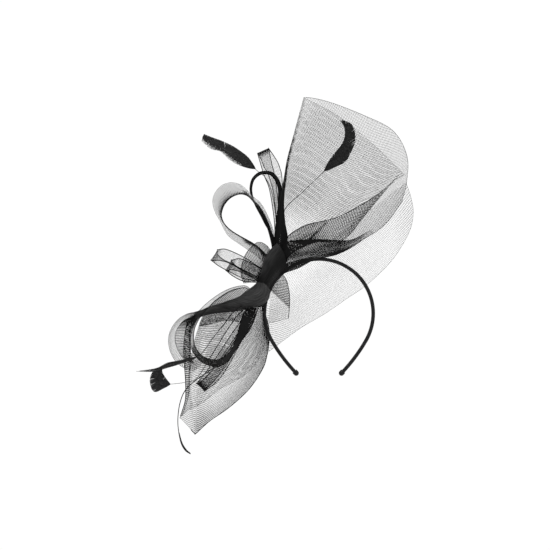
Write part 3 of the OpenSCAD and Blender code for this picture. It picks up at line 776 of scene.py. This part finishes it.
RING_RIBS = [
    [[-74, 2, 18], [-82, -2, 29], [-88.6, -5, 33.3], [-100.6, -12, 31.8], [-112.6, -17, 27.3],
     [-124.6, -21, 19.8], [-136.6, -27, 10.1], [-145.6, -31, 0.3], [-151, -32, -9], [-154, -33, -20],
     [-154.8, -34, -30], [-153.5, -34, -38], [-150, -34, -46], [-144, -34, -54], [-136.6, -34, -59.5],
     [-124.6, -34, -63], [-113, -34, -60.5], [-105, -34, -52], [-98, -34, -41.5], [-90, -34, -29.5],
     [-82.6, -31, -19.5], [-76.6, -25, -6.4], [-72.5, -14, 7]],
    [[-74, 0, 15], [-82, -6, 26.5], [-88.6, -10, 30.8], [-100.6, -18, 28.5], [-111, -24, 24], [-123, -31, 15.8],
     [-133, -36, 6.3], [-140.5, -40, -2.5], [-145, -43, -10], [-148.2, -44, -18], [-149.2, -45, -28],
     [-148, -46, -37], [-143.2, -46, -45.5], [-135.5, -46, -51.8], [-125, -46, -54.4], [-115.6, -46, -52.9],
     [-108, -45, -46.9], [-102, -44, -37.9], [-97.6, -42, -25.9], [-94.6, -39, -13.9], [-91, -32, -1.9],
     [-84, -16, 8]]]


def ring_shade(u, v, p):
    x, z = p[..., 0], p[..., 2]
    low = fade(-z, 30, 55)
    right = fade(x, -118, -98) * fade(-z, -12, 5)
    core = near(v, 0.62, 0.36)
    return 0.5 + 0.6 * fade(-z, -5, 10) + 1.2 * low + 0.6 * right * core + 1.1 * right + 0.3 * near(v, 1, 0.2)


crin("lower_ring_cloth", "lower_ring", RING_RIBS, 240, 20, 0.34, ring_shade, {"a": 0.3, "b": 0.5})

TAIL_RIBS = [
    [[-71, -5, 12], [-67, -13, -6], [-65, -17, -24], [-66, -18, -42], [-76, -18, -62]],
    [[-72, -5, 11], [-80, -16, -14], [-85, -20, -38], [-88, -20, -58], [-94, -20, -77]],
    [[-73, -5, 10], [-96, -20, -18], [-108, -22, -45], [-114, -21, -68], [-118, -20, -90]],
    [[-74, -5, 10], [-114, -20, -14], [-131, -21, -42], [-138, -20, -72], [-140, -17, -107]],
    [[-74, -5, 10], [-112, -14, 0], [-136, -15, -6], [-143, -15, -20], [-149, -15, -42], [-154, -14, -74],
     [-156, -11, -116]],
    [[-75, -1, 9], [-112, -3, 1], [-138, -4, -5], [-145.5, -4, -20], [-151, -3, -40], [-157, -3, -76],
     [-159.5, -4, -100], [-166.3, -5, -124.5]],
    [[-75, 0, 9], [-112, -2, 0], [-137, -3, -7], [-144.5, -3, -22], [-150, -2, -42], [-156, -2, -76],
     [-159, -3, -102], [-165, -4, -126.5]],
    [[-74, 4, 9], [-118, 6, -8], [-138, 8, -24], [-147, 10, -52], [-152, 10, -88], [-157.5, 4, -135]],
    [[-74, 4, 9], [-122, 13, -20], [-138, 16, -54], [-145, 14, -96], [-149.6, 6, -144]],
    [[-74, 4, 9], [-120, 13, -20], [-136, 16, -54], [-143, 14, -96], [-147.2, 6.3, -144]],
    [[-73, 5, 9], [-106, 16, -26], [-120, 20, -64], [-128, 17, -104], [-131, 12, -129.5]],
    [[-72, 5, 10], [-88, 16, -26], [-98, 21, -58], [-104, 19, -88], [-108, 14, -113.5]],
    [[-71, 5, 11], [-74, 13, -18], [-78, 18, -44], [-82, 17, -68], [-84, 13, -91.5]],
    [[-70, 4, 12], [-65, 10, -10], [-62, 13, -26], [-63, 13, -44], [-67, 12, -66]],
    [[-70, 4, 12], [-63, 8, -5], [-60, 10, -18], [-59.5, 11, -30], [-61, 10, -46]]]
TAIL_RIM = [[-148, -145], [-131, -130], [-108, -114], [-84, -92], [-67, -66], [-60, -42], [-60, -20]]
TAIL_ROOT = [[-68, 12], [-66, -5], [-63.5, -20], [-61.5, -34], [-61, -46]]
TAIL_CREASE = [[-152, -70], [-155, -96], [-151, -125], [-148.6, -143]]


def tail_shade(u, v, p):
    x, z = p[..., 0], p[..., 2]
    far = fade(v, 0.5, 0.58)
    rim = streak(p, TAIL_RIM, 13) * (0.1 + 0.9 * fade(x, -153, -145))
    root = 1.5 * streak(p, TAIL_ROOT, 2.4) * fade(z, -52, -20)
    crease = 0.5 * streak(p, TAIL_CREASE, 1.2) * (1 - far)
    tip = 0.6 * fade(-z, 95, 125) * fade(-x, 120, 145)
    inside_ring = 0.6 * fade(-x, 104, 118) * fade(-z, -10, 10) * (1 - far) * (1 - fade(-z, 50, 80))
    return 0.72 + 0.3 * far + tip + inside_ring + far * rim + root + crease


def tail_rim(f):
    return 0.12 + 0.38 * (f > 0.53)


crin("tail_cornet_cloth", "tail_cornet", TAIL_RIBS, 120, 300, 0.165, tail_shade,
     {"e": tail_rim, "b": 0.5, "a": 0.12}, (8, 0.5, 6))

STRIP_RIBS = [
    [[-145, -9, 0], [-154, -10, -4], [-158.5, -10, -14], [-161.3, -10, -30], [-162, -10, -46], [-161, -9, -64],
     [-159.8, -9, -84], [-160.3, -8, -104], [-166, -6.5, -123]],
    [[-141, -8, -4], [-148, -9, -7], [-152, -11, -16], [-153.5, -12, -30], [-153.8, -12, -46],
     [-153.8, -11, -62], [-154.8, -10, -80], [-156.4, -9, -100], [-164, -7, -123]]]
crin("tail_strip_cloth", "tail_strip", STRIP_RIBS, 120, 14, 0.3,
     lambda u, v, p: 1.1 + 0.5 * near(v, 0, 0.3) + 0.4 * near(v, 1, 0.3) - 0.85 * fade(u, 0.5, 0.95),
     {"a": 0.4, "b": 0.3})


# ---- Ribbon loops ----

def ribbon(name, node, edge_a, edge_b, nu, thread, shade, radius_a, radius_b=None):
    """A ribbon between two edges, each with its own selvedge cord."""
    edges = {"a": radius_a, "b": radius_b or radius_a}
    crin(name, node, [edge_a, edge_b], nu, 12, thread, shade, edges, None, "ribbon")


def out_and_back(out, back, gap):
    """One edge of a flat loop: out along the front layer, round the end and back along the rear one."""
    out = [np.array(p, float) for p in out]
    back = [np.array(p, float) + [0, gap, 0] for p in back]
    tip = out[-1] + 0.8 * unit(out[-1] - out[-2]) + [0, gap / 2, 0]
    return out + [tip] + back


BIG_NEAR = [
    [-56, -4, 60], [-63, -10, 70], [-71, -14, 78], [-79.2, -17, 84.1], [-90, -18.5, 90.1], [-100.6, -20, 96.1],
    [-108.6, -20, 102.1], [-114, -20, 108.7], [-116.6, -20, 116.1], [-116, -20, 122.7], [-112.6, -20, 130.7],
    [-106, -20, 138], [-98, -20, 142.1], [-91.2, -20, 142.7], [-84.6, -20, 140.1], [-79.2, -19, 134.7],
    [-73.9, -17, 126.7], [-68.6, -15, 117.4], [-63.2, -12, 106.7], [-59.2, -9, 94.7], [-56, -6, 80],
    [-54, -4, 62]]
BIG_FAR = [
    [-57, 0, 55], [-66, -1, 61], [-75, -2, 69], [-87, -3, 77.5], [-97, -4, 84.2], [-108, -5, 92.3],
    [-114, -5.5, 101.5], [-118, -6, 110], [-123.5, -6, 119.5], [-127.2, -6, 130.7], [-126.6, -6, 140],
    [-122, -6, 148.2], [-115.2, -6, 154.2], [-106, -6, 157], [-96.6, -6, 155.5], [-90, -6, 151.5],
    [-83.2, -5, 144.8], [-77, -5, 138.5], [-71.2, -5, 134], [-65.9, -4, 126.5], [-60.6, -3, 116],
    [-56.6, -2, 106], [-53, -1, 92], [-51, 0, 62]]


def big_shade(u, v, p):
    x, z = p[..., 0], p[..., 2]
    roll = 2.2 * near(v, 0, 0.12) + 1.3 * near(v, 0, 0.4) * near(x, -116, 12)
    root = 2.2 * near(v, 0.1, 0.2) * (1 - fade(u, 0.08, 0.15))
    root += 0.9 * (1 - fade(v, 0.3, 0.6)) * (1 - fade(u, 0.04, 0.12))
    right = 5 * fade(x, -94, -80) * fade(z, 78, 90) * (1 - fade(v, 0.35, 0.65))
    return 1.05 + roll + root + right


ribbon("big_loop_ribbon", "big_loop", BIG_NEAR, BIG_FAR, 180, 0.22, big_shade, 0.7, 0.12)

THIN_FRONT = [
    [-53, 1.5, 60], [-52.5, 1.5, 84], [-57, 1.5, 97.4], [-62.3, 1.5, 106], [-67.6, 1.5, 116.5],
    [-74.3, 1.5, 128.1], [-79.6, 1.5, 139], [-82, 1.5, 146], [-82, 1.5, 153.5], [-79.4, 1.5, 161.8],
    [-73.2, 1.5, 168], [-66, 1.5, 170.3], [-57.4, 1.5, 169.4], [-51.8, 1.5, 165.2], [-47.8, 1.5, 159],
    [-45.2, 1.5, 150.8], [-45, 1.5, 140], [-46, 1.5, 118], [-48, 1.5, 96], [-50, 1.5, 61]]
THIN_BACK = [
    [-54, 6, 60], [-54.5, 7, 85], [-59, 8, 98.5], [-64, 8.5, 107], [-69, 9, 117], [-75, 9, 128], [-79, 9, 138],
    [-80.6, 9, 146], [-80.4, 9, 153], [-78, 9, 160.4], [-72.3, 9, 166], [-66, 9, 168], [-58.4, 9, 167],
    [-53.8, 9, 162.6], [-50.4, 9, 156.5], [-48.4, 9, 149], [-48.2, 9, 140], [-49, 8, 118], [-51, 7, 96],
    [-52, 6, 61]]
ribbon("thin_loop_ribbon", "thin_loop", THIN_FRONT, THIN_BACK, 180, 1.2, None, 0.95)

TOP_A = out_and_back(
    [[-52, 8.5, 70], [-53, 10, 104], [-55, 11, 124], [-59.5, 11, 150], [-66, 11, 167], [-73.2, 11, 191]],
    [[-71.5, 11, 190.5], [-66, 11, 177], [-60.5, 11, 166.5], [-54, 11, 142], [-51, 9.5, 104],
     [-50, 8.5, 70]], 1.6)
TOP_B = out_and_back(
    [[-46, 8.5, 70], [-47, 10, 104], [-49.5, 11, 140], [-53, 11, 166], [-56.5, 11, 180], [-60, 11, 197.5]],
    [[-59.2, 11, 197], [-51.2, 11, 185], [-47, 11, 175.5], [-44, 11, 159], [-43.5, 9.5, 104],
     [-43, 8.5, 70]], 1.6)


def end_shade(place, width, amount):
    """Darker where the ribbon turns back on itself."""
    return lambda u, v, p: 1 + amount * near(u, place, width)


ribbon("top_loop_ribbon", "top_loop", TOP_A, TOP_B, 170, 0.15, end_shade(0.49, 0.016, 4), 0.5)

SIDE_A = out_and_back(
    [[-62, -5, 52], [-72, -10, 56], [-84, -14, 64], [-98, -15, 71.5], [-112, -15, 77], [-120.6, -15, 76.3]],
    [[-121.5, -15, 71], [-114.5, -15, 64.5], [-106, -15, 60.5], [-90, -14, 52], [-70, -9, 42]], 1.8)
SIDE_B = out_and_back(
    [[-66, -5, 38], [-78, -10, 39.5], [-90, -14, 42], [-104, -15, 48.5], [-119, -15, 56.5],
     [-128.5, -15, 63.5]],
    [[-128, -15, 63.2], [-119, -15, 63.5], [-107, -15, 60], [-92, -14, 51.5], [-72, -9, 38]], 1.8)
ribbon("side_loop_outer_ribbon", "side_loop_outer", SIDE_A, SIDE_B, 170, 0.15, end_shade(0.5, 0.03, 1.4), 0.55)

SIDE_C = out_and_back(
    [[-64, -1, 49], [-73, -3, 55.5], [-85, -6, 62], [-95, -8, 65.6], [-104, -8, 64]],
    [[-103.5, -8, 61], [-97, -8, 55.5], [-86, -6, 49.5], [-70, -3, 42]], 1.6)
SIDE_D = out_and_back(
    [[-66, -1, 37], [-78, -3, 37.5], [-91, -6, 39], [-103, -8, 45], [-111, -8, 51.5]],
    [[-110.5, -8, 51], [-104, -8, 52.5], [-92, -6, 49], [-72, -3, 39]], 1.6)
ribbon("side_loop_inner_ribbon", "side_loop_inner", SIDE_C, SIDE_D, 170, 0.16, end_shade(0.5, 0.035, 1.2), 0.6)

LOW_A = out_and_back(
    [[-75, -6, 12], [-84, -18, 4], [-95, -23, -11], [-107, -25.5, -28], [-120, -26, -48], [-133, -27, -67],
     [-145.3, -27, -82.2]],
    [[-142, -27, -82], [-128, -27, -68], [-115, -26, -50], [-102, -25.5, -31], [-88, -20, -10],
     [-73, -6, 10]], 1.8)
LOW_B = out_and_back(
    [[-72, -6, 8], [-79, -18, -10], [-87, -23, -24], [-96, -25.5, -39], [-107, -26, -60], [-120, -27, -79],
     [-135.4, -27, -91.6]],
    [[-136.5, -27, -91], [-126, -27, -81], [-112, -26, -63], [-100, -25.5, -44], [-89, -22, -26],
     [-75, -7, 6]], 1.8)
ribbon("lower_loop_ribbon", "lower_loop", LOW_A, LOW_B, 190, 0.15,
       lambda u, v, p: 1 + 3.5 * near(u, 0.5, 0.02) + 0.6 * near(u, 0.5, 0.12), 0.5)


# ---- Feathers ----

def quill(name, points, r0, r1, node):
    """A feather's shaft, tapering from radius r0 to r1."""
    path = along(points, 70)
    obj = tubes(name, [path], [np.linspace(r0, r1, len(path))], MATERIALS["quill"], sides=10)
    seat(obj, node)


def vane(name, ribs, node, lean, count=260, fill=(1, 1)):
    """A feather's vane: barbs from the shaft, the middle rib, out to each edge. lean is how far each slants on
    towards the tip, count the barbs on each side, and fill how much of the room between them they cover."""
    steps, segments, cup = 800, 5, 0.9
    left, shaft, right = (along(r, steps) for r in ribs)
    points, faces = [], []
    for edge, cover in ((left, fill[0]), (right, fill[1])):
        root_gap = size(np.diff(shaft, axis=0)).sum() / count
        tip_gap = size(np.diff(edge, axis=0)).sum() / count
        slip = 0
        for k in range(count):
            t = k / count
            if RNG.random() < 0.02:
                slip = RNG.uniform(0.004, 0.01)
            slip *= 0.85
            reach = min(1.0, t + lean * (1.1 - t) + slip + RNG.normal(0, 0.001))
            root = shaft[int(t * steps)]
            end = root + (edge[int(reach * steps)] - root) * RNG.uniform(0.97, 1.01)
            span = size(end - root)
            if span < 0.4:
                continue
            bow = shaft[min(steps, int((t + 0.3 * lean) * steps))] - root
            across = np.cross((end - root) / span, [0, 1, 0])
            lift = RNG.normal(0, 0.2)
            base = len(points)
            for f in np.linspace(0, 1, segments + 1):
                swell = math.sin(math.pi * f)
                mid = root + (end - root) * f - bow * (0.35 * swell) + [0, lift * f - 0.5 * cup * swell, 0]
                w = 0.8 * (root_gap + (tip_gap - root_gap) * f) * (1 - 0.35 * f ** 3) * (1 - (1 - cover) * f)
                points += [mid - across * w, mid + across * w]
            faces += [(b, b + 1, b + 3, b + 2) for b in range(base, base + 2 * segments, 2)]
    obj = make(name, points, faces, MATERIALS["barbs"])
    seat(obj, node)


quill("fan_feather_shaft", [
    [-44, -2, 62], [-45, -4, 92], [-41, -5, 124], [-20, -6, 145], [6, -6, 170], [18, -6, 181], [29, -6, 197],
    [34, -6, 212], [29, -6, 229]], 0.6, 0.18, "fan_quill")
vane("fan_feather_vane", [
    [[7, -8, 170], [18, -8, 174.5], [32, -8, 182], [39, -8, 194], [43.5, -8, 206], [43, -8, 219], [38, -8, 228],
     [27, -8, 232]],
    [[6, -7, 170], [18, -7, 181], [29, -7, 197], [34, -7, 212], [33, -7, 222], [28, -7, 230]],
    [[5.5, -8, 171], [12, -8, 183], [21, -8, 195], [28, -8, 204], [31, -8, 214], [30, -8, 224],
     [25, -8, 231]]], "fan_feather", 0.1, fill=(0.9, 1))

quill("left_feather_shaft", [
    [-47, 6, 60], [-50, 17, 104], [-56, 17, 144], [-64, 17, 163], [-71, 17, 169], [-78, 17, 175],
    [-95, 16, 187], [-115, 15.5, 199], [-136, 15.5, 211]], 0.6, 0.2, "left_quill")
vane("left_feather_vane", [
    [[-76, 15, 175], [-84, 15, 187], [-92, 15, 194], [-104, 15, 202], [-117, 15, 208], [-128, 15, 212],
     [-138, 15, 216]],
    [[-76, 15, 174], [-86, 15, 182], [-100, 14.5, 190], [-118, 14, 200], [-130, 14.5, 207], [-140, 15, 213]],
    [[-77, 15, 173], [-88, 15, 175.5], [-98, 15, 179], [-108, 15, 185], [-119, 15, 195], [-130, 15, 197.5],
     [-141, 15, 207]]], "left_feather", 0.12, fill=(0.9, 0.28))

quill("curled_feather_shaft", [
    [-76, -5, 14], [-93, -22, 2], [-108, -31, -17], [-129, -31, -51], [-146, -30, -77], [-161, -28, -82],
    [-177, -27, -84], [-188, -26.5, -85], [-193, -26.5, -78], [-190, -26.5, -69]], 0.7, 0.18, "curled_quill")
vane("curled_feather_vane", [
    [[-177.5, -25.5, -84.8], [-186, -25.5, -89.5], [-195, -25.5, -93.5], [-200, -25.5, -89.5],
     [-202, -25.5, -80], [-200.4, -25.5, -72.4], [-196.6, -25.5, -67.2], [-189, -25.5, -63.2]],
    [[-177.3, -25.5, -84.4], [-186.5, -25, -84.5], [-192, -25, -80], [-193, -25, -74], [-190.5, -25, -68],
     [-186, -25.5, -63]],
    [[-177.2, -25.5, -84], [-182.3, -25.5, -77], [-185.6, -25.5, -72], [-187, -25.5, -68], [-186, -25.5, -65.2],
     [-183, -25.5, -63]]], "curled_feather", 0.1)

quill("slender_feather_shaft", [
    [-77, -4, 17], [-100, -27, 4], [-112, -30, -11], [-125, -31, -27], [-141, -31, -48], [-160, -32, -57],
    [-178, -33, -61], [-198, -33.5, -67], [-217, -33.5, -68.5]], 0.65, 0.15, "slender_quill")
vane("slender_feather_vane", [
    [[-145, -33, -50], [-158, -33, -53.5], [-170, -33.5, -56], [-182, -33.5, -58.5], [-194, -33.5, -64.5],
     [-217, -33.5, -68.3]],
    [[-144, -33, -51], [-158, -33, -55.5], [-170, -33.5, -58.5], [-182, -33.5, -62], [-196, -33.5, -67],
     [-218, -33.5, -68.5]],
    [[-145, -33, -53], [-158, -33, -57.5], [-170, -33.5, -61.5], [-182, -33.5, -65], [-196, -33.5, -69],
     [-217, -33.5, -68.8]]], "slender_feather", 0.08, fill=(0.4, 0.3))

quill("bare_quill_shaft", [
    [-77, -6, 15], [-86, -25, -6], [-116, -30.5, -55], [-148, -29, -80], [-160, -27, -92], [-166, -26, -107],
    [-168.4, -26, -125], [-167.5, -26, -140], [-164, -26, -154], [-159, -26, -162.5],
    [-154, -26, -166.8]], 0.75, 0.45, "bare_quill")
vane("bare_quill_tip_vane", [
    [[-167, -28, -140], [-163.3, -28, -153], [-158.2, -28, -161.5], [-153, -28, -166.2]],
    [[-167.5, -28, -140], [-164, -28, -154], [-159, -28, -162.5], [-153, -28, -167]],
    [[-168, -28, -140], [-164.8, -28, -154.5], [-159.8, -28, -163.3],
     [-153.5, -28, -167.6]]], "bare_quill_tip", 0.1, 90)


# ---- Floor, light and camera ----

# In metres: the X and Z that the camera looks straight at, the width that it sees there, and its distance.
VIEW_CENTRE = (-0.0526, 0.0461)
VIEW_WIDTH = 0.66
VIEW_DISTANCE = 4.0
SENSOR_MM = 36
# Strength of the white that the camera sees and of the white that lights the piece.
BACKDROP = 1.02
DOME = 0.45


def floor():
    mesh = bpy.data.meshes.new("floor")
    size, level = 3, -0.62
    corners = [(-1, -1), (1, -1), (1, 1), (-1, 1)]
    mesh.from_pydata([(x * size, y * size, level) for x, y in corners], [], [(0, 1, 2, 3)])
    m, tree, shader = material("pale_floor")
    patches = ramp(tree, noise(tree, object_place(tree), 3), grey(0.04), grey(0.07))
    tree.links.new(patches, shader.inputs["Base Color"])
    shader.inputs["Roughness"].default_value = 0.9
    shader.inputs["Emission Color"].default_value = (1, 1, 1, 1)
    shader.inputs["Emission Strength"].default_value = 0.94
    mesh.materials.append(m)
    obj = bpy.data.objects.new("floor", mesh)
    scene.collection.objects.link(obj)


def lamp(name, place, aim, size, power):
    data = bpy.data.lights.new(name, "AREA")
    data.shape = "DISK"
    data.size = size
    data.energy = power
    obj = bpy.data.objects.new(name, data)
    obj.location = place
    obj.rotation_mode = "QUATERNION"
    obj.rotation_quaternion = (Vector(place) - Vector(aim)).to_track_quat("Z", "Y")
    scene.collection.objects.link(obj)


def world():
    """White backdrop for the camera; a dimmer white dome for the light."""
    w = bpy.data.worlds.new("white_studio")
    w.use_nodes = True
    tree = w.node_tree
    back = tree.nodes["Background"]
    back.inputs["Color"].default_value = (1, 1, 1, 1)
    seen = tree.nodes.new("ShaderNodeLightPath").outputs["Is Camera Ray"]
    level = math_node(tree, "ADD", math_node(tree, "MULTIPLY", seen, BACKDROP - DOME), DOME)
    tree.links.new(level, back.inputs["Strength"])
    scene.world = w


floor()
world()
aim = (VIEW_CENTRE[0], 0, VIEW_CENTRE[1])
lamp("key_light", (-1.2, -1.6, 1.8), aim, 1.4, 40)
lamp("fill_light", (1.6, -1.4, 0.6), aim, 1.6, 15)
lamp("back_light", (0.6, 1.8, 1.4), aim, 1.2, 25)

camera = bpy.data.objects.new("camera", bpy.data.cameras.new("camera"))
scene.collection.objects.link(camera)
camera.data.sensor_width = SENSOR_MM
camera.data.lens = SENSOR_MM * VIEW_DISTANCE / VIEW_WIDTH
camera.data.clip_end = 100
camera.location = (VIEW_CENTRE[0], -VIEW_DISTANCE, VIEW_CENTRE[1])
camera.rotation_euler = (math.pi / 2, 0, 0)
bpy.context.scene.camera = camera
scene.cycles.transparent_max_bounces = 48
scene.view_settings.view_transform = "Standard"
